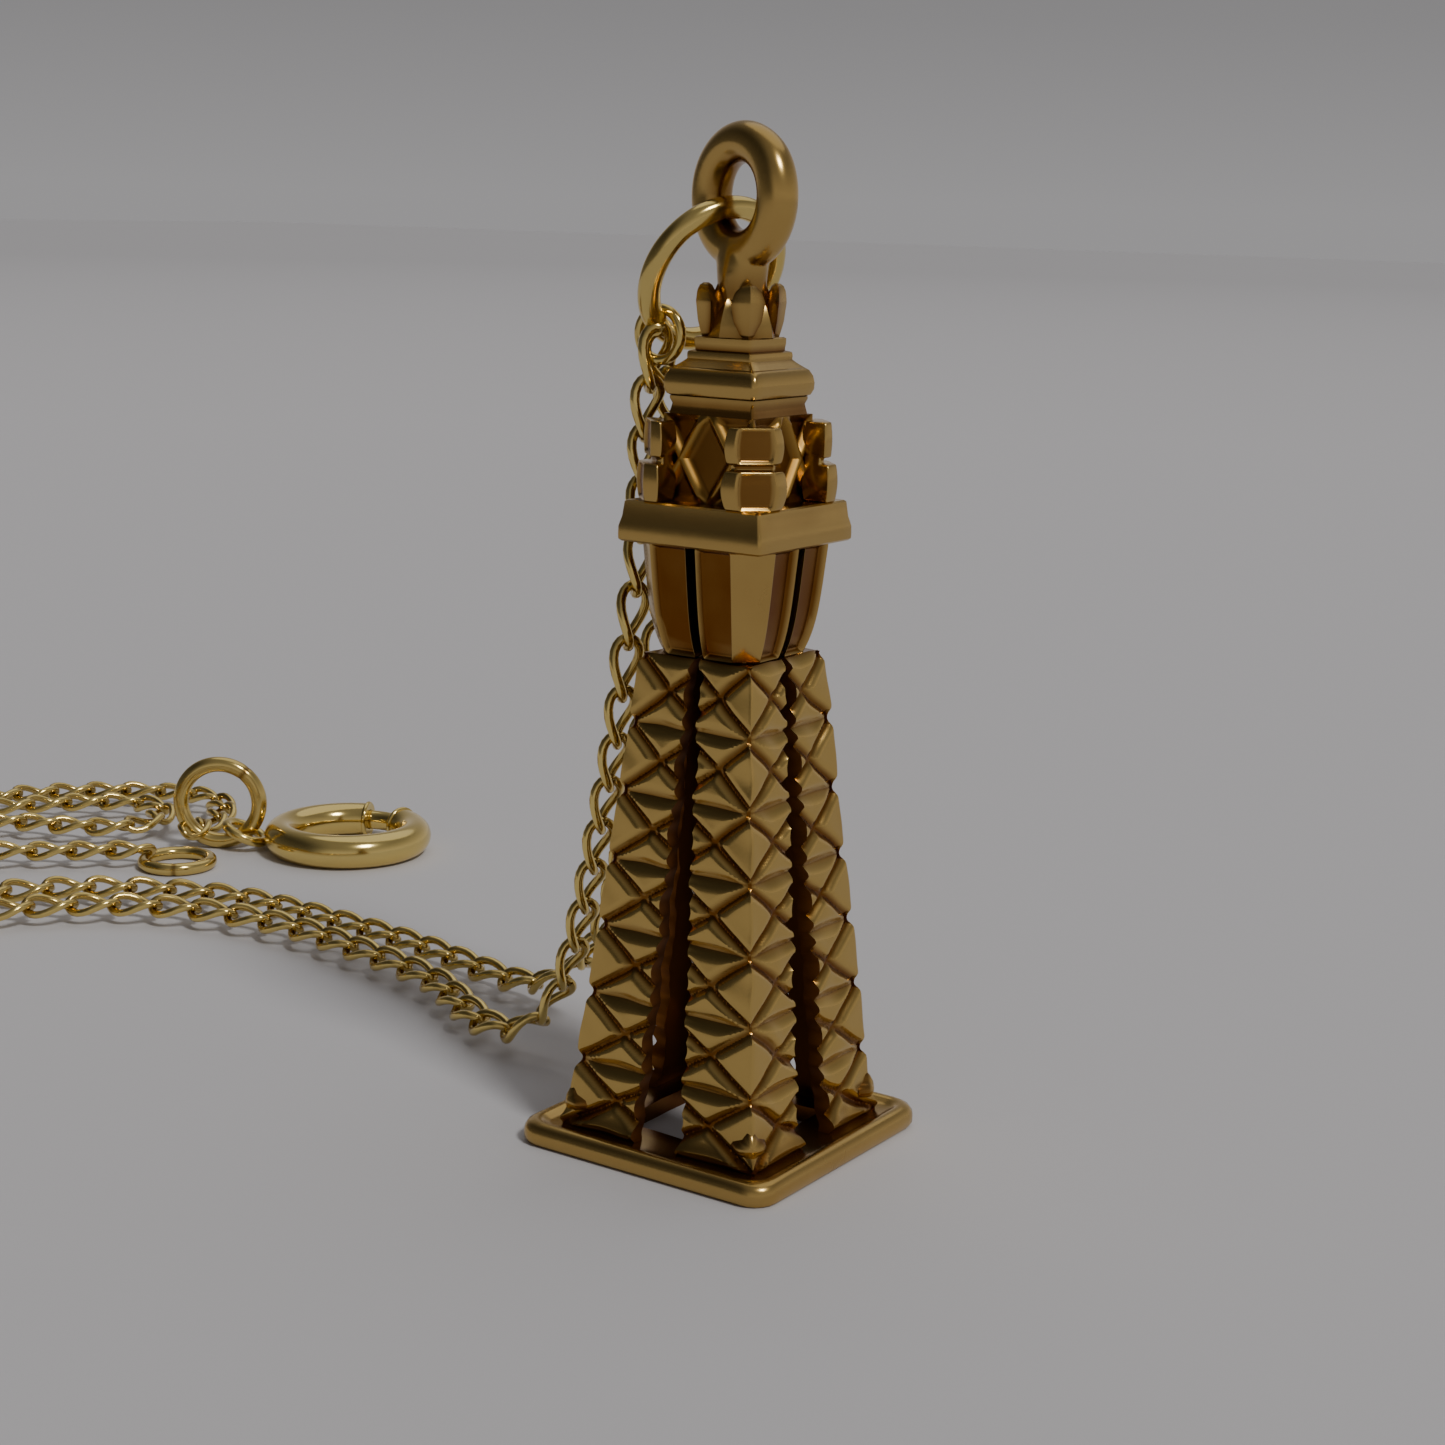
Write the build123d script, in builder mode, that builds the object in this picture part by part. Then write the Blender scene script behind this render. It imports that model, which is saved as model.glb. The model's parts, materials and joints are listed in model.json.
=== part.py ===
"""Small gold lattice tower charm, hung by a jump ring on a fine curb chain with a bolt ring clasp.

Frame: origin at the centre of the base plate's underside, +Z up, faces square to X and Y, millimetres.
"""

import os
from math import asin, cos, hypot, pi, radians, sin, sqrt, tan

from build123d import *

os.makedirs("parts", exist_ok=True)

# ---- tower: half widths of square sections, and heights ----
base_half = 3.8
base_thickness = 0.6
base_corner_radius = 0.7
base_edge_radius = 0.24
base_opening_half = 1.9

leg_height = 12.0
leg_foot_half = 2.84
leg_head_half = 1.66
leg_wall = 0.45
slot_foot_half = 0.72
slot_head_half = 0.14
bay_count = 7
groove_depth = 0.16
groove_half_height = 0.17

bracket_height = 2.75
bracket_head_half = 1.97
bracket_foot_half = 1.70
bracket_head_chamfer = 0.80
bracket_foot_chamfer = 0.58
bracket_wall = 1.05
bracket_slot_half = 0.14

gallery_thickness = 1.0
gallery_top_half = 2.0
gallery_bottom_half = 2.09
gallery_edge_radius = 0.07

lantern_height = 2.1
lantern_half = 1.30
brace_width = 0.26
brace_proud = 0.14

pinnacle_lower_height = 0.92
pinnacle_neck_height = 0.16
pinnacle_upper_height = 0.86
pinnacle_lower_half = 1.98
pinnacle_upper_half = 1.88
pinnacle_size = 1.00
pinnacle_chamfer = 0.60
pinnacle_neck_inset = 0.12

frieze_height = 0.42
frieze_half = 1.22
cornice_height = 0.7
cornice_half = 1.36
cornice_bulge = 0.16
cap_height = 0.18
cap_half = 1.16
ledge_height = 0.20
ledge_half = 0.93
plinth_height = 0.34
plinth_half = 0.81

crown_height = 1.35
crown_foot_half = 0.62
crown_head_half = 0.50
petal_width = 0.74
petal_thickness = 0.24
petal_corner_reach = 0.98

stem_foot_radius = 0.55
stem_head_radius = 0.72

bail_radius = 1.27
bail_wire = 1.0
bail_seat = 0.18
bail_turn = 18.0

# ---- jump ring, which hangs through the bail and leans on the tower's back ----
jump_radius = 1.80
jump_wire = 0.56
jump_lean = 27.0
jump_seat_angle = 144.0
wire_gap = 0.03

# ---- chain ----
chain_width = 1.1
link_radius = 0.62
link_wire = 0.26
link_seat_angle = 36.0
coil_mid_radius = 6.0
coil_half_width = 1.7
coil_height = 3.3
coil_centre = (-36.3, -5.0)

# ---- bolt ring clasp, lying flat ----
clasp_centre = (-26.3, 14.4)
clasp_eye_direction = 213.8
clasp_mid_radius = 2.4
clasp_tube = 1.2
clasp_bore = 0.74
bolt_fit = 0.02
gap_start, gap_end = 80.0, 113.0
bolt_socket = 5.0
bolt_length = 72.0
bolt_travel = 33.0
knob_angle = 146.0
knob_diameter = 0.36
knob_slot_clearance = 0.06
knob_reach = 0.42
spring_length = 52.0
spring_clearance = 1.0
spring_coil = 0.62
eye_radius = 0.72
eye_wire = 0.36
eye_tilt = 25.0
connector_radius = 1.42
connector_wire = 0.55
end_ring_radius = 1.15
end_ring_wire = 0.45

# ---- heights worked out from the stack ----
leg_foot_z = base_thickness
leg_head_z = leg_foot_z + leg_height
gallery_z = leg_head_z + bracket_height
lantern_z = gallery_z + gallery_thickness
frieze_z = lantern_z + lantern_height
cornice_z = frieze_z + frieze_height
cap_z = cornice_z + cornice_height
ledge_z = cap_z + cap_height
plinth_z = ledge_z + ledge_height
crown_z = plinth_z + plinth_height
crown_top_z = crown_z + crown_height
bail_z = crown_top_z + bail_seat + bail_radius + bail_wire / 2

corners = {"front": (1, -1), "right": (1, 1), "back": (-1, 1), "left": (-1, -1)}


def finish(piece, name):
    """Label one finished piece and write it as its own STEP file."""
    piece.part.label = name
    export_step(piece.part, f"parts/{name}.step")


# ---- base plate: rounded square, open in the middle where the casting is hollow ----
with BuildPart() as base_plate:
    with BuildSketch(Plane.XY):
        RectangleRounded(2 * base_half, 2 * base_half, base_corner_radius)
    extrude(amount=base_thickness)
    rims = base_plate.faces().sort_by(Axis.Z)
    fillet(rims[0].edges() + rims[-1].edges(), base_edge_radius)
    with BuildSketch(Plane.XY):
        Rectangle(2 * base_opening_half, 2 * base_opening_half)
    extrude(amount=base_thickness, mode=Mode.SUBTRACT)
finish(base_plate, "base_plate")

# ---- four legs: tapering angle sections with a groove at every bay line ----
leg_slope = (leg_foot_half - leg_head_half) / leg_height
for corner, (sx, sy) in corners.items():
    with BuildPart() as leg:
        sections = (
            (leg_foot_z, leg_foot_half, slot_foot_half),
            (leg_head_z, leg_head_half, slot_head_half),
        )
        for z, half, slot in sections:
            inner = half - leg_wall
            with BuildSketch(Plane.XY.offset(z)):
                with BuildLine():
                    Polyline(
                        (sx * half, sy * half),
                        (sx * slot, sy * half),
                        (sx * slot, sy * inner),
                        (sx * inner, sy * inner),
                        (sx * inner, sy * slot),
                        (sx * half, sy * slot),
                        close=True,
                    )
                make_face()
        loft(ruled=True)
        for bay in range(1, bay_count):
            z = leg_foot_z + bay * leg_height / bay_count
            half = leg_foot_half - bay * leg_height / bay_count * leg_slope
            mouth = groove_half_height * (1 + leg_wall / groove_depth)
            faces = ((Plane.XZ.offset(-sy * half), sx, sy), (Plane.YZ.offset(sx * half), sy, -sx))
            for face, side, inwards in faces:
                with BuildSketch(face):
                    with BuildLine():
                        Polyline(
                            (side * (half + leg_wall), z + mouth),
                            (side * (half - groove_depth), z),
                            (side * (half + leg_wall), z - mouth),
                            close=True,
                        )
                    make_face()
                extrude(amount=inwards * half, mode=Mode.SUBTRACT)
    finish(leg, f"leg_{corner}")

# ---- four brackets that carry the gallery out from the leg heads ----
for corner, (sx, sy) in corners.items():
    with BuildPart() as bracket:
        sections = (
            (leg_head_z, bracket_foot_half, bracket_foot_chamfer),
            (gallery_z, bracket_head_half, bracket_head_chamfer),
        )
        for z, half, cut in sections:
            inner = bracket_foot_half - bracket_wall
            with BuildSketch(Plane.XY.offset(z)):
                with BuildLine():
                    Polyline(
                        (sx * half, sy * (half - cut)),
                        (sx * (half - cut), sy * half),
                        (sx * bracket_slot_half, sy * half),
                        (sx * bracket_slot_half, sy * inner),
                        (sx * inner, sy * inner),
                        (sx * inner, sy * bracket_slot_half),
                        (sx * half, sy * bracket_slot_half),
                        close=True,
                    )
                make_face()
        loft(ruled=True)
    finish(bracket, f"bracket_{corner}")

# ---- gallery slab ----
with BuildPart() as gallery_slab:
    with BuildSketch(Plane.XY.offset(gallery_z)):
        Rectangle(2 * gallery_bottom_half, 2 * gallery_bottom_half)
    with BuildSketch(Plane.XY.offset(lantern_z)):
        Rectangle(2 * gallery_top_half, 2 * gallery_top_half)
    loft()
    fillet(gallery_slab.edges(), gallery_edge_radius)
finish(gallery_slab, "gallery_slab")

# ---- lantern: square core, crossed braces on each face, stepped pinnacle at each corner ----
with BuildPart() as lantern_core:
    with BuildSketch(Plane.XY.offset(lantern_z)):
        Rectangle(2 * lantern_half, 2 * lantern_half)
    extrude(amount=lantern_height)
finish(lantern_core, "lantern_core")

pinnacle_inner = pinnacle_lower_half - pinnacle_size
brace_span = 2 * pinnacle_inner
brace_angle = asin(lantern_height / hypot(brace_span, lantern_height)) * 180 / pi
with BuildPart() as lantern_braces:
    for turn in range(4):
        face = Plane.XZ.rotated((0, 0, 90 * turn)).offset(lantern_half)
        with BuildSketch(face):
            with Locations((0, lantern_z + lantern_height / 2)):
                for tilt in (brace_angle, -brace_angle):
                    Rectangle(2 * lantern_height + brace_span, brace_width, rotation=tilt)
                Rectangle(brace_span, lantern_height, mode=Mode.INTERSECT)
        extrude(amount=brace_proud)
finish(lantern_braces, "lantern_braces")

for corner, (sx, sy) in corners.items():
    with BuildPart() as pinnacle:
        z = lantern_z
        tiers = (
            (pinnacle_lower_height, pinnacle_lower_half),
            (pinnacle_neck_height, pinnacle_upper_half - pinnacle_neck_inset),
            (pinnacle_upper_height, pinnacle_upper_half),
        )
        for height, outer in tiers:
            with BuildSketch(Plane.XY.offset(z)):
                with BuildLine():
                    Polyline(
                        (sx * lantern_half, sy * pinnacle_inner),
                        (sx * outer, sy * pinnacle_inner),
                        (sx * outer, sy * (outer - pinnacle_chamfer)),
                        (sx * (outer - pinnacle_chamfer), sy * outer),
                        (sx * pinnacle_inner, sy * outer),
                        (sx * pinnacle_inner, sy * lantern_half),
                        (sx * lantern_half, sy * lantern_half),
                        close=True,
                    )
                make_face()
            extrude(amount=height)
            z += height
    finish(pinnacle, f"pinnacle_{corner}")

# ---- frieze, bulged cornice, and the roof: a sloping cap, a ledge and the crown's plinth ----
with BuildPart() as frieze:
    with BuildSketch(Plane.XY.offset(frieze_z)):
        Rectangle(2 * frieze_half, 2 * frieze_half)
    extrude(amount=frieze_height)
finish(frieze, "frieze")

with BuildPart() as cornice:
    with BuildSketch(Plane.XY.offset(cornice_z)):
        Rectangle(2 * cornice_half, 2 * cornice_half)
    extrude(amount=cornice_height)
    fillet(cornice.edges().filter_by(Axis.Z, reverse=True), cornice_bulge)
finish(cornice, "cornice")

with BuildPart() as roof_steps:
    with BuildSketch(Plane.XY.offset(cap_z)):
        Rectangle(2 * cap_half, 2 * cap_half)
    with BuildSketch(Plane.XY.offset(ledge_z)):
        Rectangle(2 * ledge_half, 2 * ledge_half)
    loft()
    with BuildSketch(Plane.XY.offset(ledge_z)):
        Rectangle(2 * ledge_half, 2 * ledge_half)
    extrude(amount=ledge_height)
    with BuildSketch(Plane.XY.offset(plinth_z)):
        Rectangle(2 * plinth_half, 2 * plinth_half)
    extrude(amount=plinth_height)
finish(roof_steps, "roof_steps")

# ---- crown: tapered core with a pointed petal across each corner ----
with BuildPart() as crown_core:
    with BuildSketch(Plane.XY.offset(crown_z)):
        Rectangle(2 * crown_foot_half, 2 * crown_foot_half)
    with BuildSketch(Plane.XY.offset(crown_top_z)):
        Rectangle(2 * crown_head_half, 2 * crown_head_half)
    loft()
finish(crown_core, "crown_core")

with BuildPart() as crown_petals:
    for turn in range(4):
        stand = Plane.XZ.rotated((0, 0, 45 + 90 * turn)).offset(petal_corner_reach - petal_thickness)
        with BuildSketch(stand):
            with BuildLine():
                Polyline(
                    (-petal_width / 2, crown_z),
                    (petal_width / 2, crown_z),
                    (petal_width / 2, crown_z + crown_height / 2),
                    (0, crown_top_z),
                    (-petal_width / 2, crown_z + crown_height / 2),
                    close=True,
                )
            make_face()
        extrude(amount=petal_thickness)
    add(crown_core.part, mode=Mode.SUBTRACT)
finish(crown_petals, "crown_petals")

# ---- stem that flares into the bail, cut away where the bail ring seats in it ----
bail_centre = (0, 0, bail_z)
bail_axis = Vector(-sin(radians(bail_turn)), -cos(radians(bail_turn)), 0)
bail_left = Vector(bail_axis.Y, -bail_axis.X, 0)
bail_plane = Plane(origin=bail_centre, x_dir=bail_left, z_dir=bail_axis)

with BuildPart() as bail_ring:
    with BuildSketch(Plane(origin=bail_centre, x_dir=bail_left, z_dir=(0, 0, 1))):
        with Locations((bail_radius, 0)):
            Circle(bail_wire / 2)
    revolve(axis=Axis(bail_centre, tuple(bail_axis)))
finish(bail_ring, "bail_ring")

with BuildPart() as bail_stem:
    with BuildSketch(Plane.XY.offset(crown_top_z)):
        Circle(stem_foot_radius)
    with BuildSketch(Plane.XY.offset(bail_z - bail_radius)):
        Circle(stem_head_radius)
    loft()
    add(bail_ring.part, mode=Mode.SUBTRACT)
    with BuildSketch(bail_plane.offset(-stem_head_radius)):
        Circle(bail_radius)
    extrude(amount=2 * stem_head_radius, mode=Mode.SUBTRACT)
finish(bail_stem, "bail_stem")

# ---- jump ring: its wire lies in the bail's hole, square to the bail ----
seat_offset = bail_radius - bail_wire / 2 - jump_wire / 2 - wire_gap - jump_wire**2 / (8 * jump_radius)
seat_left = -seat_offset * cos(radians(jump_seat_angle))
seat_down = seat_offset * sin(radians(jump_seat_angle))
hang = bail_left * sin(radians(jump_lean)) - Vector(0, 0, cos(radians(jump_lean)))
jump_top = Vector(*bail_centre) + bail_left * seat_left - Vector(0, 0, seat_down)
jump_centre = jump_top + hang * jump_radius
jump_normal = bail_axis.cross(hang)

with BuildPart(Plane(origin=jump_centre, x_dir=bail_axis, z_dir=jump_normal)) as jump_ring:
    Torus(jump_radius, jump_wire / 2)
finish(jump_ring, "jump_ring")

# ---- chain link that hangs on the jump ring and joins the two chain halves ----
seat_turn = radians(link_seat_angle)
link_seat = jump_centre + (hang * cos(seat_turn) + bail_axis * sin(seat_turn)) * jump_radius
link_drop = link_radius - link_wire / 2 - jump_wire / 2 - wire_gap
link_centre = link_seat - Vector(0, 0, link_drop)
link_along = bail_axis * cos(seat_turn) - hang * sin(seat_turn)

with BuildPart(Plane(origin=link_centre, z_dir=Vector(link_along.X, link_along.Y, 0))) as centre_link:
    Torus(link_radius, link_wire / 2)
finish(centre_link, "chain_centre_link")

# ---- chain halves: both start at the centre link and run down the tower's back to the floor ----
floor_z = chain_width / 2
start_a = (link_centre.X, link_centre.Y - 0.5, link_centre.Z - 1.05)
start_b = (link_centre.X - 0.25, link_centre.Y + 0.9, link_centre.Z - 1.05)
strand_a_route = [
    start_a,
    (-2.48, -0.40, 18.2),
    (-2.74, -0.12, 17.1),
    (-2.84, 0.00, 15.8),
    (-2.82, -0.12, 14.4),
    (-2.84, -0.42, 13.0),
    (-2.95, -0.52, 11.6),
    (-3.32, -0.22, 10.0),
    (-3.92, 0.13, 8.3),
    (-4.60, 0.58, 6.4),
    (-5.25, 0.95, 4.7),
    (-5.85, 1.22, 3.2),
    (-6.50, 1.32, 1.8),
    (-7.45, 1.18, 0.85),
    (-8.80, 1.28, floor_z),
    (-10.45, 2.10, floor_z),
    (-12.20, 3.30, floor_z),
    (-14.40, 3.95, floor_z),
    (-16.60, 4.34, floor_z),
    (-19.20, 4.80, floor_z),
    (-21.80, 4.75, floor_z),
    (-24.60, 4.00, floor_z),
    (-26.90, 2.40, floor_z),
    (-28.60, 0.20, floor_z),
    (-29.60, -2.60, floor_z),
    (-30.00, -5.20, floor_z),
]
strand_b_route = [
    start_b,
    (-2.60, 0.90, 18.1),
    (-2.80, 1.20, 16.9),
    (-2.86, 1.28, 15.5),
    (-2.88, 1.20, 14.0),
    (-3.08, 1.18, 12.3),
    (-3.55, 1.45, 10.4),
    (-4.20, 1.95, 8.3),
    (-5.00, 2.60, 6.2),
    (-5.95, 3.30, 4.3),
    (-7.00, 3.90, 2.7),
    (-8.40, 4.40, 1.45),
    (-10.15, 4.80, 0.65),
    (-12.30, 5.15, floor_z),
    (-14.80, 5.75, floor_z),
    (-17.40, 6.05, floor_z),
    (-20.20, 6.20, floor_z),
    (-23.00, 6.25, floor_z),
    (-25.60, 5.55, floor_z),
    (-28.10, 4.10, floor_z),
    (-30.10, 1.80, floor_z),
    (-31.10, -0.90, floor_z),
    (-31.40, -3.50, floor_z),
]
tail_a_route = [
    (-42.20, -2.60, floor_z),
    (-42.55, 0.20, floor_z),
    (-42.60, 3.20, floor_z),
    (-42.10, 6.30, floor_z),
    (-41.00, 9.30, floor_z),
    (-39.40, 12.10, floor_z),
    (-37.20, 14.30, floor_z),
    (-34.70, 15.30, floor_z),
    (-32.80, 14.70, floor_z),
    (-31.85, 13.40, floor_z),
]
tail_b_route = [
    (-41.00, -2.20, floor_z),
    (-41.00, 0.40, floor_z),
    (-40.95, 3.20, floor_z),
    (-40.40, 6.10, floor_z),
    (-39.30, 8.90, floor_z),
    (-37.60, 11.40, floor_z),
    (-35.60, 13.00, floor_z),
    (-34.00, 12.70, floor_z),
    (-33.10, 11.40, floor_z),
    (-33.45, 9.90, floor_z),
    (-34.90, 8.90, floor_z),
    (-36.60, 8.30, floor_z),
    (-37.95, 7.30, floor_z),
    (-38.45, 5.90, floor_z),
    (-37.80, 4.50, floor_z),
    (-36.20, 4.00, floor_z),
    (-34.20, 4.90, floor_z),
    (-32.30, 6.50, floor_z),
    (-30.70, 8.00, floor_z),
]


def corner_radii(points):
    """The largest arc that each corner of a route takes, as 0.45 of its shorter run over tan(half turn)."""
    places = [Vector(*point) for point in points]
    radii = []
    for before, here, after in zip(places, places[1:], places[2:]):
        shorter = min((here - before).length, (after - here).length)
        turn = radians((here - before).get_angle(after - here))
        radii.append(0.45 * shorter / tan(turn / 2))
    return radii


def chain_tube(points, name):
    """Write one uncoiled stretch of chain as a plain tube, and return its centre line's length."""
    radii = corner_radii(points)
    with BuildPart() as tube:
        with BuildLine() as route:
            FilletPolyline(*points, radius=radii)
        centre_line = route.wire()
        with BuildSketch(Plane(origin=centre_line @ 0, z_dir=centre_line % 0)):
            Circle(chain_width / 2)
        sweep(path=centre_line)
    finish(tube, name)
    share = tube.part.volume / (pi * chain_width**2 / 4 * centre_line.length)
    print(f"{name}: length {centre_line.length:.2f}, volume ratio {share:.4f}, radii",
          " ".join(f"{radius:.1f}" for radius in radii))
    return centre_line.length


strand_a_length = chain_tube(strand_a_route, "chain_strand_a")
strand_b_length = chain_tube(strand_b_route, "chain_strand_b")
tail_a_length = chain_tube(tail_a_route, "chain_tail_a")
tail_b_length = chain_tube(tail_b_route, "chain_tail_b")

# ---- the rest of both halves, wound together into one round coil ----
with BuildPart() as chain_coil:
    with BuildSketch(Plane.XY):
        with Locations(coil_centre):
            Circle(coil_mid_radius + coil_half_width)
            Circle(coil_mid_radius - coil_half_width, mode=Mode.SUBTRACT)
    extrude(amount=coil_height)
finish(chain_coil, "chain_coil")

# ---- bolt ring clasp: hollow ring body with a gap, sliding bolt with a thumb knob, spring behind it ----
clasp_z = clasp_tube / 2
clasp_origin = Vector(*clasp_centre, clasp_z)
clasp_axle = Axis(tuple(clasp_origin), (0, 0, 1))
bolt_wire = clasp_bore - 2 * bolt_fit
bolt_start = gap_start - bolt_socket + 1.0
bolt_end = bolt_start + bolt_length
spring_start = bolt_end + spring_clearance
spring_end = spring_start + spring_length
bore_end = spring_end + spring_clearance
knob_half_angle = (knob_diameter / 2 + knob_slot_clearance) / clasp_mid_radius * 180 / pi


def clasp_section(angle):
    """The upright plane through the clasp's axis at one angle, its X pointing outwards."""
    outward = (cos(radians(angle)), sin(radians(angle)), 0)
    return Plane(origin=tuple(clasp_origin), x_dir=outward, z_dir=(outward[1], -outward[0], 0))


def clasp_arc(start, end, diameter, mode=Mode.ADD):
    """Sweep a round section about the clasp's axis from one angle to another."""
    with BuildSketch(clasp_section(start)) as section:
        with Locations((clasp_mid_radius, 0)):
            Circle(diameter / 2)
    revolve(section.sketch, axis=clasp_axle, revolution_arc=end - start, mode=mode)


with BuildPart() as clasp_body:
    clasp_arc(gap_end, gap_start + 360, clasp_tube)
    clasp_arc(gap_start - bolt_socket, gap_start, clasp_bore, mode=Mode.SUBTRACT)
    clasp_arc(gap_end, bore_end, clasp_bore, mode=Mode.SUBTRACT)
    slot_start = knob_angle - knob_half_angle
    slot_end = knob_angle + bolt_travel + knob_half_angle
    with BuildSketch(clasp_section(slot_start)):
        with Locations((clasp_mid_radius + clasp_tube / 2, 0)):
            Rectangle(clasp_tube, knob_diameter + 2 * knob_slot_clearance)
    revolve(axis=clasp_axle, revolution_arc=slot_end - slot_start, mode=Mode.SUBTRACT)
finish(clasp_body, "clasp_body")

with BuildPart() as clasp_bolt:
    clasp_arc(bolt_start, bolt_end, bolt_wire)
    outward = Vector(cos(radians(knob_angle)), sin(radians(knob_angle)), 0)
    with BuildSketch(Plane(origin=clasp_origin + outward * clasp_mid_radius, z_dir=outward)):
        Circle(knob_diameter / 2)
    extrude(amount=clasp_tube / 2 + knob_reach)
finish(clasp_bolt, "clasp_bolt")

with BuildPart() as clasp_spring:
    clasp_arc(spring_start, spring_end, spring_coil)
finish(clasp_spring, "clasp_spring")

# ---- eye soldered to the clasp, upright connector ring through it, and the plain ring on the other end ----
eye_outward = Vector(cos(radians(clasp_eye_direction)), sin(radians(clasp_eye_direction)), 0)
eye_reach = clasp_mid_radius + clasp_tube / 2 + eye_radius
eye_centre = clasp_origin + eye_outward * eye_reach
eye_normal = Vector(0, 0, cos(radians(eye_tilt))) - eye_outward * sin(radians(eye_tilt))
with BuildPart() as clasp_eye:
    with Locations(Plane(origin=eye_centre, z_dir=eye_normal)):
        Torus(eye_radius, eye_wire / 2)
    add(clasp_body.part, mode=Mode.SUBTRACT)
finish(clasp_eye, "clasp_eye")

connector_z = connector_radius + connector_wire / 2
connector_side = sqrt(connector_radius**2 - (connector_z - clasp_z) ** 2)
connector_centre = eye_centre + eye_outward * connector_side
connector_centre.Z = connector_z
connector_plane = Plane(origin=connector_centre, x_dir=eye_outward, z_dir=eye_outward.cross(Vector(0, 0, 1)))
with BuildPart(connector_plane) as connector_ring:
    Torus(connector_radius, connector_wire / 2)
finish(connector_ring, "connector_ring")

end_ring_centre = (-29.40, 9.00, end_ring_wire / 2)
with BuildPart(Plane(origin=end_ring_centre)) as end_ring:
    Torus(end_ring_radius, end_ring_wire / 2)
finish(end_ring, "end_ring")

# ---- figures that the record repeats ----
print("bail centre", bail_centre, "axis", bail_axis)
print("jump ring centre", jump_centre, "normal", jump_normal)
print("centre link", link_centre)
print("clasp axle", clasp_origin, "eye", eye_centre, "connector", connector_centre)
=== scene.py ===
"""A gold lattice tower charm on a curb chain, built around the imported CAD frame. Metres, +Z up."""

import json
import math

import bmesh
import bpy
import numpy as np
from mathutils import Matrix, Vector


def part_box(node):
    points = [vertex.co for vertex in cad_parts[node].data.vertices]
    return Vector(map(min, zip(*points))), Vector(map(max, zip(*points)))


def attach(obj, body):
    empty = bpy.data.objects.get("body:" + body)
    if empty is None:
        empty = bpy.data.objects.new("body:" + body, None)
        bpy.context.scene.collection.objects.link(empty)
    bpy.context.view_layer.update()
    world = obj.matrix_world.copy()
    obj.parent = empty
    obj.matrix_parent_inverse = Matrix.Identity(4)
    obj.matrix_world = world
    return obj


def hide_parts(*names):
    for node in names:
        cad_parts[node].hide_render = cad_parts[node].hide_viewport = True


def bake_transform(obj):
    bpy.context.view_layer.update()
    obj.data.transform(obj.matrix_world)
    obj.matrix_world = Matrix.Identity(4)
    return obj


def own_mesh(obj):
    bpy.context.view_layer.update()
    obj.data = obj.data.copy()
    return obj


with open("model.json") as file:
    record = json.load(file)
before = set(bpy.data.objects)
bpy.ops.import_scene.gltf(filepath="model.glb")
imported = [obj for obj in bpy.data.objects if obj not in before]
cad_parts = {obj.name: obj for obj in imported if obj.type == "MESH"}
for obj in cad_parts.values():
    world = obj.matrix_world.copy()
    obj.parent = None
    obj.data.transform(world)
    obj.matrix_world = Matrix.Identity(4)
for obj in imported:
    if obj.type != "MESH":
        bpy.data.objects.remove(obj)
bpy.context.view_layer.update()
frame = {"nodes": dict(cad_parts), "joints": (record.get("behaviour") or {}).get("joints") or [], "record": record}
MM = 0.001
UP = Vector((0, 0, 1))
scene = bpy.context.scene
nodes = frame["nodes"]
joints = {joint["name"]: joint for joint in frame["joints"]}

BACKDROP = (0.325, 0.317, 0.322)     # what the camera sees just over the floor's far edge
TOP_SHADE = 0.76                     # how much of it is left at the top of the picture
DIM_SIDE = (-0.80, -0.60, 0.05)      # where the room is dark


# ---------------------------------------------------------------- camera, floor and light
def add_camera():
    """Stands just below the height of the bail, off the tower's front corner, and looks a little down."""
    stand, look, pitch, roll = (math.radians(a) for a in (33.903, 34.102, 12.0, 1.404))
    place = Vector((math.sin(stand), -math.cos(stand), 0)) * 60.03 * MM + UP * 23.54 * MM
    level = Vector((-math.sin(look), math.cos(look), 0))
    forward = level * math.cos(pitch) - UP * math.sin(pitch)
    right = forward.cross(UP).normalized()
    up = right.cross(forward)
    right, up = right * math.cos(roll) + up * math.sin(roll), up * math.cos(roll) - right * math.sin(roll)
    data = bpy.data.cameras.new("camera")
    data.lens, data.sensor_width = 61.48, 36.0
    data.clip_start, data.clip_end = 1 * MM, 5.0
    camera = bpy.data.objects.new("camera", data)
    turn = Matrix((right, up, -forward)).transposed()
    camera.matrix_world = Matrix.Translation(place) @ turn.to_4x4()
    scene.collection.objects.link(camera)
    scene.camera = camera


def add_sun(name, source, strength, spread):
    """A distant soft lamp that shines from the direction of source, spread over an angle in degrees."""
    data = bpy.data.lights.new(name, "SUN")
    data.energy, data.angle = strength, math.radians(spread)
    light = bpy.data.objects.new(name, data)
    light.rotation_euler = Vector(source).to_track_quat("Z", "Y").to_euler()
    scene.collection.objects.link(light)


def node_tree(material):
    """Clears a material's nodes and returns its tree, its shader and a function that adds a node."""
    material.use_nodes = True
    tree = material.node_tree
    tree.nodes.clear()

    def add(kind, **settings):
        node = tree.nodes.new(kind)
        for key, value in settings.items():
            setattr(node, key, value)
        return node

    out = add("ShaderNodeOutputMaterial")
    shader = add("ShaderNodeBsdfPrincipled")
    tree.links.new(shader.outputs["BSDF"], out.inputs["Surface"])
    return tree, shader, add


def set_range(node, start, end, first, last):
    """Makes a range node turn start to end into first to last."""
    for name, value in (("From Min", start), ("From Max", end), ("To Min", first), ("To Max", last)):
        node.inputs[name].default_value = value


def set_ramp(node, *stops):
    """Gives a ramp of two stops its positions and colours."""
    for element, (position, colour) in zip(node.color_ramp.elements, stops):
        element.position, element.color = position, (*colour, 1)


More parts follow.
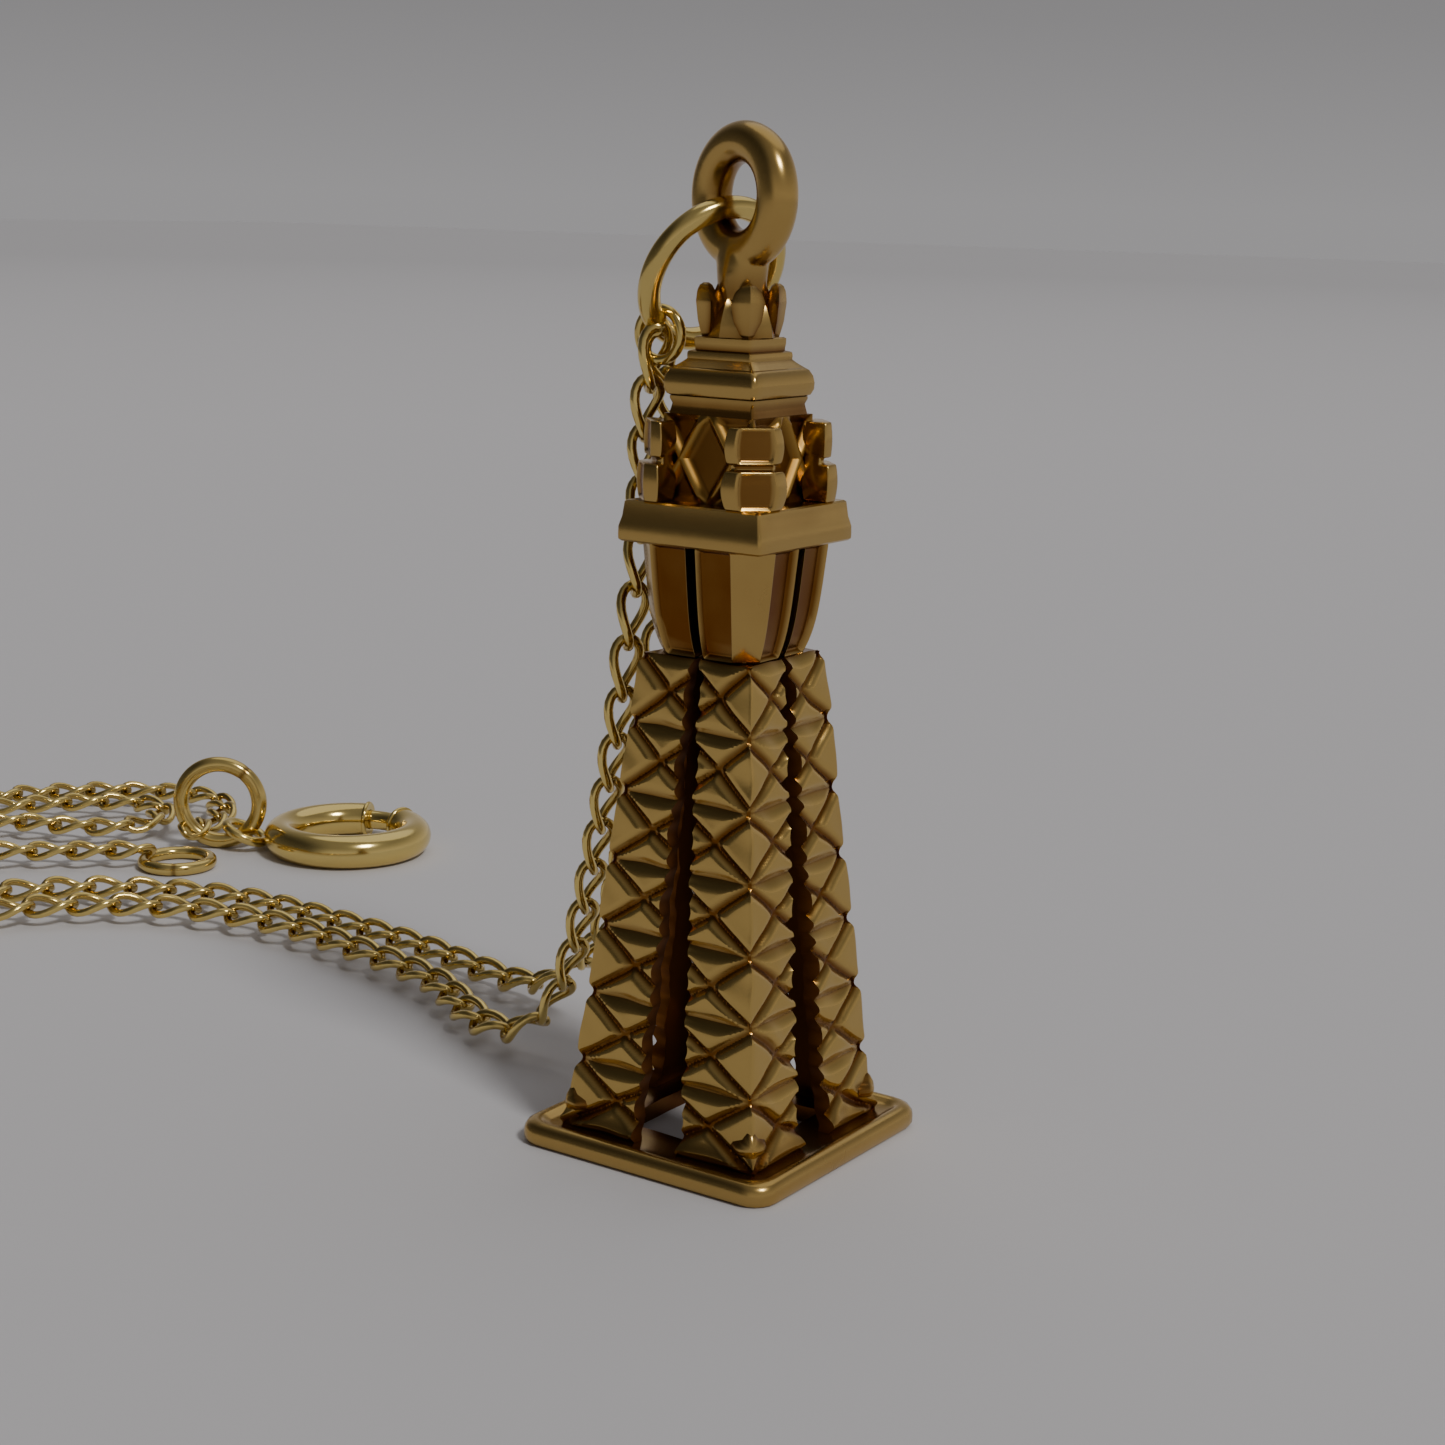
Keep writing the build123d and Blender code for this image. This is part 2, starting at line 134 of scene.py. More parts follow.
def add_floor():
    """A wide matt table top, one sheet, whose colour is darkened with distance as painted shade."""
    bm = bmesh.new()
    bmesh.ops.create_grid(bm, x_segments=8, y_segments=8, size=1.2)
    mesh = bpy.data.meshes.new("floor")
    bm.to_mesh(mesh)
    bm.free()
    floor = bpy.data.objects.new("floor", mesh)
    scene.collection.objects.link(floor)
    material = bpy.data.materials.new("floor_paper")
    tree, shader, add = node_tree(material)
    place = add("ShaderNodeTexCoord")
    away = add("ShaderNodeVectorMath", operation="LENGTH")
    # painted shade: the floor's colour falls from 1.03 to 0.83 of its base between 0.2 m and 0.8 m out
    painted_falloff = add("ShaderNodeMapRange")
    set_range(painted_falloff, 0.20, 0.80, 1.03, 0.83)
    shade = add("ShaderNodeVectorMath", operation="SCALE")
    shade.inputs[0].default_value = (0.60, 0.585, 0.59)
    tree.links.new(place.outputs["Object"], away.inputs[0])
    tree.links.new(away.outputs["Value"], painted_falloff.inputs["Value"])
    tree.links.new(painted_falloff.outputs["Result"], shade.inputs["Scale"])
    tree.links.new(shade.outputs["Vector"], shader.inputs["Base Color"])
    shader.inputs["Roughness"].default_value = 1.0
    shader.inputs["Specular IOR Level"].default_value = 0.0
    mesh.materials.append(material)


def add_world():
    """Soft studio surroundings: pale low down, darker overhead and on one side, where the room is dim."""
    world = bpy.data.worlds.new("studio")
    scene.world = world
    world.use_nodes = True
    tree = world.node_tree
    tree.nodes.clear()
    link = tree.links.new
    out = tree.nodes.new("ShaderNodeOutputWorld")
    surroundings = tree.nodes.new("ShaderNodeBackground")
    backdrop = tree.nodes.new("ShaderNodeBackground")
    fade = tree.nodes.new("ShaderNodeValToRGB")
    set_ramp(fade, (0.50, BACKDROP), (0.5375, [TOP_SHADE * part for part in BACKDROP]))
    ramp = tree.nodes.new("ShaderNodeValToRGB")
    split = tree.nodes.new("ShaderNodeSeparateXYZ")
    place = tree.nodes.new("ShaderNodeTexCoord")
    spread = tree.nodes.new("ShaderNodeMapRange")
    set_range(spread, -1.0, 1.0, 0.0, 1.0)
    set_ramp(ramp, (0.48, (0.52, 0.50, 0.50)), (0.80, (0.20, 0.195, 0.20)))
    link(place.outputs["Generated"], split.inputs[0])
    link(split.outputs["Z"], spread.inputs["Value"])
    link(spread.outputs["Result"], ramp.inputs["Fac"])
    link(spread.outputs["Result"], fade.inputs["Fac"])
    link(fade.outputs["Color"], backdrop.inputs["Color"])
    facing = tree.nodes.new("ShaderNodeVectorMath")
    facing.operation = "DOT_PRODUCT"
    facing.inputs[1].default_value = DIM_SIDE
    link(place.outputs["Generated"], facing.inputs[0])
    dim = tree.nodes.new("ShaderNodeMapRange")
    dim.interpolation_type = "SMOOTHSTEP"
    set_range(dim, 0.25, 0.80, 1.0, 0.22)
    link(facing.outputs["Value"], dim.inputs["Value"])
    shade = tree.nodes.new("ShaderNodeVectorMath")
    shade.operation = "SCALE"
    link(ramp.outputs["Color"], shade.inputs[0])
    link(dim.outputs["Result"], shade.inputs["Scale"])
    link(shade.outputs["Vector"], surroundings.inputs["Color"])
    seen = tree.nodes.new("ShaderNodeLightPath")
    choose = tree.nodes.new("ShaderNodeMixShader")
    link(seen.outputs["Is Camera Ray"], choose.inputs["Fac"])
    link(surroundings.outputs["Background"], choose.inputs[1])
    link(backdrop.outputs["Background"], choose.inputs[2])
    link(choose.outputs["Shader"], out.inputs["Surface"])


add_camera()
add_floor()
add_world()
add_sun("key", (0.85, -0.25, 1.0), 1.35, 12)
add_sun("overhead", (-0.1, 0.5, 1.0), 0.38, 60)


# ---------------------------------------------------------------- materials
def gold(name, colour, painted_shade_and_stain, roughness, grain=2400.0):
    """Metal gold with fine satin scratches, turning dark brown where the mesh's shade-and-stain attribute is high:
    painted shade in hollows, and real stain at solder seams.
    """
    material = bpy.data.materials.new(name)
    tree, shader, add = node_tree(material)
    link = tree.links.new
    shader.inputs["Metallic"].default_value = 1.0
    place = add("ShaderNodeTexCoord")
    cloud = add("ShaderNodeTexNoise")
    cloud.inputs["Scale"].default_value = grain / 6
    cloud.inputs["Detail"].default_value = 6.0
    fine = add("ShaderNodeTexNoise")
    fine.inputs["Scale"].default_value = grain
    fine.inputs["Detail"].default_value = 4.0
    link(place.outputs["Object"], cloud.inputs["Vector"])
    link(place.outputs["Object"], fine.inputs["Vector"])
    hollow = add("ShaderNodeAttribute", attribute_name="painted_shade_and_stain")
    # mixes random tone from the cloud noise with the painted shade and stain of the attribute
    tone_and_shade = add("ShaderNodeMath", operation="MULTIPLY_ADD", use_clamp=True)
    tone_and_shade.inputs[1].default_value = 0.5
    link(cloud.outputs["Fac"], tone_and_shade.inputs[0])
    shift = add("ShaderNodeMath", operation="ADD")
    shift.inputs[1].default_value = -0.27
    link(hollow.outputs["Fac"], shift.inputs[0])
    link(shift.outputs["Value"], tone_and_shade.inputs[2])
    mix = add("ShaderNodeMix", data_type="RGBA")
    mix.inputs["A"].default_value = (*colour, 1)
    mix.inputs["B"].default_value = (*painted_shade_and_stain, 1)
    link(tone_and_shade.outputs["Value"], mix.inputs["Factor"])
    link(mix.outputs["Result"], shader.inputs["Base Color"])
    rough = add("ShaderNodeMapRange")
    set_range(rough, 0.3, 0.7, roughness * 0.825, roughness * 1.25)
    link(cloud.outputs["Fac"], rough.inputs["Value"])
    link(rough.outputs["Result"], shader.inputs["Roughness"])
    dent = add("ShaderNodeBump")
    dent.inputs["Strength"].default_value = 0.2
    dent.inputs["Distance"].default_value = 0.01 * MM
    link(fine.outputs["Fac"], dent.inputs["Height"])
    link(dent.outputs["Normal"], shader.inputs["Normal"])
    return material


satin_gold = gold("satin_gold", (0.52, 0.345, 0.110), (0.17, 0.057, 0.007), 0.22)
cut_gold = gold("cut_gold", (0.58, 0.395, 0.125), (0.17, 0.060, 0.007), 0.19)
# recess_gold is darker than satin_gold as painted shade for recessed parts, and rougher as a duller finish
recess_gold = gold("recess_gold", (0.44, 0.26, 0.065), (0.14, 0.055, 0.009), 0.30)
# a darker, redder copy of the gold: painted shade for the faces inside the legs' angles
painted_shade_gold = gold("painted_shade_gold", (0.34, 0.13, 0.030), (0.16, 0.055, 0.010), 0.50)
chain_gold = gold("chain_gold", (0.80, 0.61, 0.21), (0.22, 0.11, 0.02), 0.17, grain=1600.0)
steel = gold("spring_steel", (0.40, 0.38, 0.35), (0.12, 0.10, 0.08), 0.3)

SLOT_MATERIALS = {
    "satin_gold": satin_gold,
    "cut_gold": cut_gold,
    "recess_gold": recess_gold,
    "chain_gold": chain_gold,
    "clasp_gold": chain_gold,
    "spring_steel": steel,
}


# ---------------------------------------------------------------- mesh helpers
def node_box(*names):
    """Lowest and highest corners, in millimetres, of one or more CAD nodes together."""
    boxes = [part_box(name) for name in names]
    low = [min(box[0][i] for box in boxes) / MM for i in range(3)]
    high = [max(box[1][i] for box in boxes) / MM for i in range(3)]
    return low, high


def noise(seed, places, scale):
    """Smooth repeatable noise from -1 to 1 at each place, from a few crossed waves."""
    draw = np.random.default_rng(seed)
    total = np.zeros(len(places))
    for _ in range(6):
        way = draw.normal(size=3) * scale
        total += np.sin(places @ way + draw.uniform(0, 2 * math.pi))
    return total / 6


def finish_piece(name, bm, materials, body, replaces, sharp=35.0):
    """Turns a bmesh into a piece with smooth faces and crisp edges; it rides on a body, if one is given."""
    bmesh.ops.recalc_face_normals(bm, faces=bm.faces)
    limit = math.radians(sharp)
    for face in bm.faces:
        face.smooth = True
    for edge in bm.edges:
        edge.smooth = not (len(edge.link_faces) == 2 and edge.calc_face_angle() > limit)
    mesh = bpy.data.meshes.new(name)
    bm.to_mesh(mesh)
    bm.free()
    for material in materials:
        mesh.materials.append(material)
    piece = bpy.data.objects.new(name, mesh)
    scene.collection.objects.link(piece)
    if body:
        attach(piece, body)
    if replaces:
        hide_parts(*replaces)
    return piece


def new_mesh(places, faces, painted_shade_and_stain=None):
    """A bmesh from places in millimetres, with the painted shade and stain that each of them carries."""
    bm = bmesh.new()
    layer = bm.verts.layers.float.new("painted_shade_and_stain")
    verts = [bm.verts.new(Vector(place) * MM) for place in places]
    if painted_shade_and_stain is not None:
        for vert, value in zip(verts, painted_shade_and_stain):
            vert[layer] = value
    for face in faces:
        bm.faces.new([verts[i] for i in face])
    return bm


def grid_faces(rows, columns, wrap_rows=False, wrap_columns=False):
    """Quads over a grid of points stored row by row."""
    faces = []
    for row in range(rows if wrap_rows else rows - 1):
        for column in range(columns if wrap_columns else columns - 1):
            below, beside = (row + 1) % rows, (column + 1) % columns
            faces.append((row * columns + column, row * columns + beside,
                          below * columns + beside, below * columns + column))
    return faces


def end_caps(total, count):
    """The faces that close the first and the last loop of a tube of points, count to a loop."""
    return [tuple(range(count)), tuple(range(total - count, total))]


def square_loop(half, corner, z, corner_steps=5, side_steps=10):
    """Points round a square with rounded corners."""
    points = []
    for turn in range(4):
        angle = turn * math.pi / 2
        ux, uy = math.cos(angle), math.sin(angle)
        for step in range(corner_steps + 1):
            swing = angle + math.pi / 2 * step / corner_steps
            reach = half - corner
            points.append((reach * (ux - uy) + corner * math.cos(swing),
                           reach * (uy + ux) + corner * math.sin(swing), z))
        for step in range(1, side_steps):
            along = (half - corner) * (1 - 2 * step / side_steps)
            points.append((-uy * half + ux * along, ux * half + uy * along, z))
    return points


def square_stack(name, levels, material, replaces, ring=False, rough=0.0):
    """A square lathe: each level is height, half width, corner radius and painted shade; a ring joins up."""
    places, painted_shade_and_stain = [], []
    for z, half, corner, shade_and_stain in levels:
        loop = square_loop(half, corner, z)
        places += loop
        painted_shade_and_stain += [shade_and_stain] * len(loop)
    count = len(places) // len(levels)
    faces = grid_faces(len(levels), count, wrap_rows=ring, wrap_columns=True)
    if not ring:
        faces += end_caps(len(places), count)
    places = np.array(places)
    if rough:
        shift = noise(len(name), places, 3.1) * rough * np.array(painted_shade_and_stain)
        places[:, 2] += shift
    bm = new_mesh(places, faces, painted_shade_and_stain)
    return finish_piece(name, bm, [material], "root", replaces)


def refined(name, sources, material, body, recess=None, thickness=0.07, depth=0.05, bevel=0.035,
            panel_shade=0.5, shade_and_stain=None, warp=None):
    """Copies CAD nodes as clean faces, sinks a panel in each face that recess picks, and rounds all edges."""
    bm = bmesh.new()
    for source in sources:
        bm.from_mesh(nodes[source].data)
    bmesh.ops.remove_doubles(bm, verts=bm.verts, dist=0.0005 * MM)
    bmesh.ops.dissolve_limit(bm, angle_limit=math.radians(1.5), verts=bm.verts, edges=bm.edges)
    layer = bm.verts.layers.float.new("painted_shade_and_stain")
    if recess:
        bm.normal_update()
        picked = [face for face in bm.faces if recess(face)]
        bmesh.ops.inset_individual(bm, faces=picked, thickness=thickness * MM, depth=-depth * MM,
                                   use_even_offset=True)
        # sunk panels are darkened with painted shade
        for face in picked:
            for vert in face.verts:
                vert[layer] = panel_shade
    bmesh.ops.bevel(bm, geom=list(bm.edges), offset=bevel * MM, segments=3, profile=0.6,
                    affect="EDGES", clamp_overlap=True)
    if warp:
        heights = [vert.co.z for vert in bm.verts]
        for cut in np.linspace(min(heights), max(heights), 18)[1:-1]:
            bmesh.ops.bisect_plane(bm, geom=list(bm.verts) + list(bm.edges) + list(bm.faces),
                                   plane_co=(0, 0, cut), plane_no=(0, 0, 1))
    for vert in bm.verts:
        # painted shade from the given function
        if shade_and_stain:
            vert[layer] = max(vert[layer], shade_and_stain(vert.co / MM))
        if warp:
            vert.co = warp(vert.co / MM) * MM
    return finish_piece(name, bm, [material], body, sources)


# ---------------------------------------------------------------- legs: cut lattice on two faces of an angle
leg_low, leg_high = node_box("leg_front", "leg_back")
BAYS = 7
FACE_STEPS, BAY_STEPS = 34, 34
LEG_WALL = 0.45
FOOT_SINK = 0.18
FOOT_HALF, HEAD_HALF = leg_high[0], 1.66
FOOT_SLOT, HEAD_SLOT = 0.72, 0.14
GROOVE_HALF, GROOVE_DEEP = 0.155, 0.19    # the diagonal cuts
LENS_HALF, LENS_DEEP = 0.25, 0.15         # the level hollow at each bay's end
NODE_REACH, NODE_DEEP = 0.22, 0.13        # the dimple on the ridge
DEEPEST = 0.20
FLARE_HIGH = FLARE_OUT = 0.16             # how the leg spreads at its foot
CROSSING = 0.685                          # where the diagonals cross, as a share of the face's width
SMOOTHING = 3
PITCH = (leg_high[2] - leg_low[2]) / BAYS


def face_relief(s, t, width):
    """Depth cut into a leg's face, s from ridge to slot edge and t in bays, and how much painted shade it gets."""
    bay = t - math.floor(t)
    up = min(bay, 1 - bay)
    across = s * width
    run, rise = CROSSING * width, PITCH / 2
    slant = math.hypot(run, rise)
    near = abs(across * rise - up * PITCH * run) / slant
    far = abs(across * rise - (1 - up) * PITCH * run) / slant
    diagonal = max(0.0, 1 - min(near, far) / GROOVE_HALF)
    lens_half = LENS_HALF * math.sin(math.pi * min(1.0, s * 0.80)) ** 0.8 if s > 0 else 0.0
    lens = max(0.0, 1 - up * PITCH / lens_half) if lens_half > 0.02 else 0.0
    depth = GROOVE_DEEP * diagonal ** 0.8
    node = max(0.0, 1 - math.hypot(across, up * PITCH) / NODE_REACH)
    depth = max(depth, LENS_DEEP * lens, NODE_DEEP * node)
    # painted shade in the diagonal grooves, the lens hollows and the ridge dimples
    shade_and_stain = max(diagonal, 0.6 * lens ** 2, 0.4 * node)
    return depth, min(1.0, 1.3 * shade_and_stain)


def leg_section(z, t):
    """Outer points of one level of a leg, from one slot edge round the ridge to the other, and their painted
    shade.
    """
    share = min(1.0, max(0.0, (z - leg_low[2]) / (leg_high[2] - leg_low[2])))
    half = FOOT_HALF + (HEAD_HALF - FOOT_HALF) * share
    half += FLARE_OUT * math.exp(-max(0.0, z - leg_low[2]) / FLARE_HIGH)
    bay = t - math.floor(t)
    scallop = 0.05 * math.cos(2 * math.pi * bay) + 0.02 * math.cos(6 * math.pi * bay)
    slot = FOOT_SLOT + (HEAD_SLOT - FOOT_SLOT) * share - min(scallop, HEAD_SLOT * 0.5)
    width = half - slot
    points, painted_shades = [], []
    for step in range(FACE_STEPS, -FACE_STEPS - 1, -1):
        s = abs(step) / FACE_STEPS
        depth, shade_and_stain = face_relief(s, t, width)
        depth = min(depth, DEEPEST)
        along = half - s * width
        if step > 0:
            points.append((along, half - depth))
        elif step < 0:
            points.append((half - depth, along))
        else:
            points.append((half - depth, half - depth))
        painted_shades.append(shade_and_stain)
    inner = half - LEG_WALL
    points += [(inner, slot), (inner, inner), (slot, inner)]
    # the faces inside the angle get full painted shade
    painted_shades += [1.0, 1.0, 1.0]
    return points, painted_shades


def add_leg(corner, sx, sy):
    """One leg: its levels are joined into a closed skin, from just inside the base up to the bracket.

    The outer faces are smoothed, as cast metal is; the faces inside the angle take a darker material as painted
    shade, and painted shade darkens the leg towards its foot.
    """
    rows = BAYS * BAY_STEPS
    places, painted_shade_and_stain = [], []
    for row in range(rows + 1):
        t = row / BAY_STEPS
        z = leg_high[2] - (leg_high[2] - leg_low[2] + FOOT_SINK) * row / rows
        points, painted_shades = leg_section(z, t)
        # painted shade darkens the leg within 1.1 mm of its foot
        foot = max(0.0, 1 - (z - leg_low[2]) / 1.1)
        for (x, y), shade_and_stain in zip(points, painted_shades):
            places.append((sx * x, sy * y, z))
            painted_shade_and_stain.append(min(1.0, shade_and_stain + 0.5 * foot ** 2))
    places = np.array(places)
    places += noise(11 + sx + 3 * sy, places, 2.6)[:, None] * np.array((0.04, 0.04, 0.05))
    count = len(places) // (rows + 1)
    faces = grid_faces(rows + 1, count, wrap_columns=True) + end_caps(len(places), count)
    bm = new_mesh(places, faces, painted_shade_and_stain)
    # faces inside the angle take the darker painted-shade material
    inside = {(2 * FACE_STEPS + k) for k in range(4)}
    bm.faces.ensure_lookup_table()
    for index in range(rows * count):
        if index % count in inside:
            bm.faces[index].material_index = 1
    outside = [vert for index, vert in enumerate(bm.verts) if 0 < index % count < 2 * FACE_STEPS
               and count <= index < len(places) - count]
    for _ in range(SMOOTHING):
        bmesh.ops.smooth_vert(bm, verts=outside, factor=0.5,
                              use_axis_x=True, use_axis_y=True, use_axis_z=True)
    finish_piece(f"lattice_leg_{corner}", bm, [cut_gold, painted_shade_gold], "root",
                 (f"leg_{corner}",), 28.0)


CORNERS = {"front": (1, -1), "right": (1, 1), "back": (-1, 1), "left": (-1, -1)}
for corner, (sx, sy) in CORNERS.items():
    add_leg(corner, sx, sy)


STUD_SIDES = 24
STUD_LEVELS = ((0.50, -0.30, 0.9), (0.44, 0.00, 0.7), (0.33, 0.10, 0.1), (0.18, 0.18, 0.0), (0.05, 0.21, 0.0))
STUD_SUNK, STUD_HEIGHT = 0.14, 0.44


def add_stud(corner, sx, sy):
    """The small cast pyramid that points outward low on a leg's ridge; a level is size, reach and painted shade.
    """
    ridge = FOOT_HALF - STUD_SUNK
    middle = np.array((sx * ridge, sy * ridge, leg_low[2] + STUD_HEIGHT))
    out = np.array((sx, sy, 0)) / math.sqrt(2)
    beside = np.array((-out[1], out[0], 0))
    places, painted_shade_and_stain = [], []
    for size, reach, shade_and_stain in STUD_LEVELS:
        for step in range(STUD_SIDES):
            angle = 2 * math.pi * step / STUD_SIDES
            span = size * (0.84 + 0.16 * math.cos(4 * angle))
            places.append(middle + out * reach + beside * span * math.cos(angle) * 0.9
                          + np.array((0, 0, span * math.sin(angle))))
            painted_shade_and_stain.append(shade_and_stain)
    faces = grid_faces(len(STUD_LEVELS), STUD_SIDES, wrap_columns=True) + end_caps(len(places), STUD_SIDES)
    bm = new_mesh(places, faces, painted_shade_and_stain)
    finish_piece(f"foot_stud_{corner}", bm, [satin_gold], "root", (), 60)


for corner, (sx, sy) in CORNERS.items():
    add_stud(corner, sx, sy)


# ---------------------------------------------------------------- brackets and pinnacles
BRACKET_TAPER = 0.27                      # how much narrower a bracket is at its foot, each side
CORNER_CUT, CORNER_CUT_LOSS = 0.80, 0.22  # its chamfer at the head, and how much of it goes by the foot
PINNACLE_LOWER, PINNACLE_UPPER, PINNACLE_CUT = 1.98, 1.88, 0.60


def add_bracket(corner):
    """A corner bracket whose two flat sides are sunk and darkened with painted shade and whose corner face stays
    bright.
    """
    def flat_side(face):
        outward = max(abs(face.normal.x), abs(face.normal.y)) > 0.97
        middle = face.calc_center_median() / MM
        return outward and max(abs(middle.x), abs(middle.y)) > 1.5

    low, high = node_box(f"bracket_{corner}")
    reach = max(abs(low[0]), abs(high[0]))

    def hollow_shade(place):
        """Painted shade: dark where a panel or the inside lies deeper than the outer faces, clear on the corner
        face.
        """
        share = (high[2] - place.z) / (high[2] - low[2])
        half = reach - BRACKET_TAPER * share
        cut = CORNER_CUT - CORNER_CUT_LOSS * share
        deep = half - max(abs(place.x), abs(place.y))
        on_corner = abs(place.x) + abs(place.y) > 2 * half - cut - 0.18 - 0.30 * share ** 4
        return 0.0 if on_corner or deep < 0.08 else 0.95

    def round_off(place):
        """Draws the outer faces in towards the foot, in a curve that turns under at the bottom."""
        share = (high[2] - place.z) / (high[2] - low[2])
        shrink = 1 - 0.02 * share - 0.13 * share ** 5
        return Vector((place.x * shrink, place.y * shrink, place.z))

    refined(f"carved_bracket_{corner}", [f"bracket_{corner}"], satin_gold, "root",
            recess=flat_side, thickness=0.10, depth=0.20, bevel=0.05, panel_shade=0.75, warp=round_off,
            shade_and_stain=hollow_shade)


def add_pinnacle(corner):
    """A stepped corner block with a dished panel in each diagonal face."""
    def diagonal(face):
        return abs(abs(face.normal.x) - abs(face.normal.y)) < 0.1 and abs(face.normal.z) < 0.3 \
            and face.calc_area() > 0.2 * MM * MM

    low, high = node_box(f"pinnacle_{corner}")
    tall = high[2] - low[2]
    middle = [(low[i] + high[i]) / 2 for i in range(2)]

    def dish_shade(place):
        """Painted shade, dark in the dished panel of each tier."""
        half = PINNACLE_LOWER if place.z < low[2] + 0.5 * tall else PINNACLE_UPPER
        sunk = (2 * half - PINNACLE_CUT - abs(place.x) - abs(place.y)) / math.sqrt(2)
        return 0.85 if 0.06 < sunk < 0.2 and max(abs(place.x), abs(place.y)) < half - 0.12 else 0.0

    def pillow(place):
        """Swells each tier halfway up."""
        tier = (2 * (place.z - low[2]) / tall) % 1
        swell = 1 + 0.17 * math.sin(math.pi * tier)
        return Vector((middle[0] + (place.x - middle[0]) * swell,
                       middle[1] + (place.y - middle[1]) * swell, place.z))

    refined(f"carved_pinnacle_{corner}", [f"pinnacle_{corner}"], satin_gold, "root",
            recess=diagonal, thickness=0.10, depth=0.09, bevel=0.12, shade_and_stain=dish_shade, warp=pillow)


for corner in CORNERS:
    add_bracket(corner)
    add_pinnacle(corner)


# ---------------------------------------------------------------- base, gallery and roof
# each level's last number is painted shade: dark in hollows, under lips and down the central hole
low, high = node_box("base_plate")
rim, hole, top = high[0], 1.9, high[2]
square_stack("dished_base", [
    (0.0, rim - 0.20, 0.55, 0.3), (0.03, rim - 0.08, 0.62, 0.1), (0.14, rim - 0.01, 0.68, 0.0),
    (0.28, rim, 0.70, 0.0), (0.42, rim - 0.02, 0.70, 0.0), (0.53, rim - 0.09, 0.66, 0.0),
    (0.59, rim - 0.20, 0.60, 0.0), (top, rim - 0.31, 0.55, 0.0), (0.57, rim - 0.40, 0.50, 0.1),
    (0.49, rim - 0.48, 0.45, 0.2), (0.45, rim - 0.62, 0.38, 0.2), (0.44, rim - 0.85, 0.3, 0.15),
    (0.43, rim - 1.1, 0.2, 0.15), (0.44, rim - 1.4, 0.15, 0.25), (0.45, hole + 0.25, 0.1, 0.6),
    (0.44, hole, 0.05, 1.0), (0.0, hole, 0.05, 1.0),
], satin_gold, ("base_plate",), ring=True, rough=0.035)

low, high = node_box("gallery_slab")
half = high[0]
square_stack("bowed_gallery", [
    (low[2], half - 0.30, 0.05, 0.6), (low[2], half - 0.07, 0.05, 0.2),
    (low[2] + 0.05, half - 0.01, 0.07, 0.0), (low[2] + 0.16, half, 0.09, 0.0),
    (low[2] + 0.36, half - 0.005, 0.09, 0.0),
    (low[2] + 0.46, half - 0.03, 0.09, 0.0), (low[2] + 0.60, half - 0.07, 0.08, 0.15),
    (high[2] - 0.14, half - 0.10, 0.08, 0.15), (high[2] - 0.04, half - 0.11, 0.08, 0.0),
    (high[2], half - 0.16, 0.07, 0.0), (high[2], half - 0.40, 0.05, 0.8),
], satin_gold, ("gallery_slab",))

low, high = node_box("frieze")
half = high[0]
square_stack("hollow_frieze", [
    (low[2], half, 0.06, 0.8), (low[2] + 0.10, half - 0.02, 0.06, 0.8),
    (low[2] + 0.24, half - 0.05, 0.06, 0.7), (high[2] - 0.06, half, 0.06, 0.3), (high[2], half, 0.06, 0.3),
], satin_gold, ("frieze",))

low, high = node_box("cornice")
half = high[0]
square_stack("bulged_cornice", [
    (low[2], half - 0.16, 0.1, 0.5), (low[2] + 0.05, half - 0.07, 0.12, 0.1),
    (low[2] + 0.18, half - 0.01, 0.14, 0.0), (low[2] + 0.34, half, 0.15, 0.0),
    (low[2] + 0.5, half - 0.03, 0.14, 0.0),
    (high[2] - 0.06, half - 0.11, 0.12, 0.0), (high[2], half - 0.20, 0.1, 0.1),
], satin_gold, ("cornice",))

low, high = node_box("roof_steps")
square_stack("stepped_roof", [
    (low[2], 1.16, 0.1, 0.0), (low[2] + 0.10, 1.03, 0.09, 0.0), (low[2] + 0.17, 0.95, 0.08, 0.3),
    (low[2] + 0.19, 0.93, 0.06, 0.2), (low[2] + 0.30, 0.935, 0.06, 0.0), (low[2] + 0.36, 0.92, 0.06, 0.0),
    (low[2] + 0.38, 0.88, 0.05, 0.4), (low[2] + 0.40, 0.79, 0.04, 0.9), (low[2] + 0.45, 0.79, 0.04, 0.6),
    (low[2] + 0.56, 0.81, 0.05, 0.0), (high[2] - 0.03, 0.81, 0.05, 0.0), (high[2], 0.77, 0.05, 0.4),
], satin_gold, ("roof_steps",))


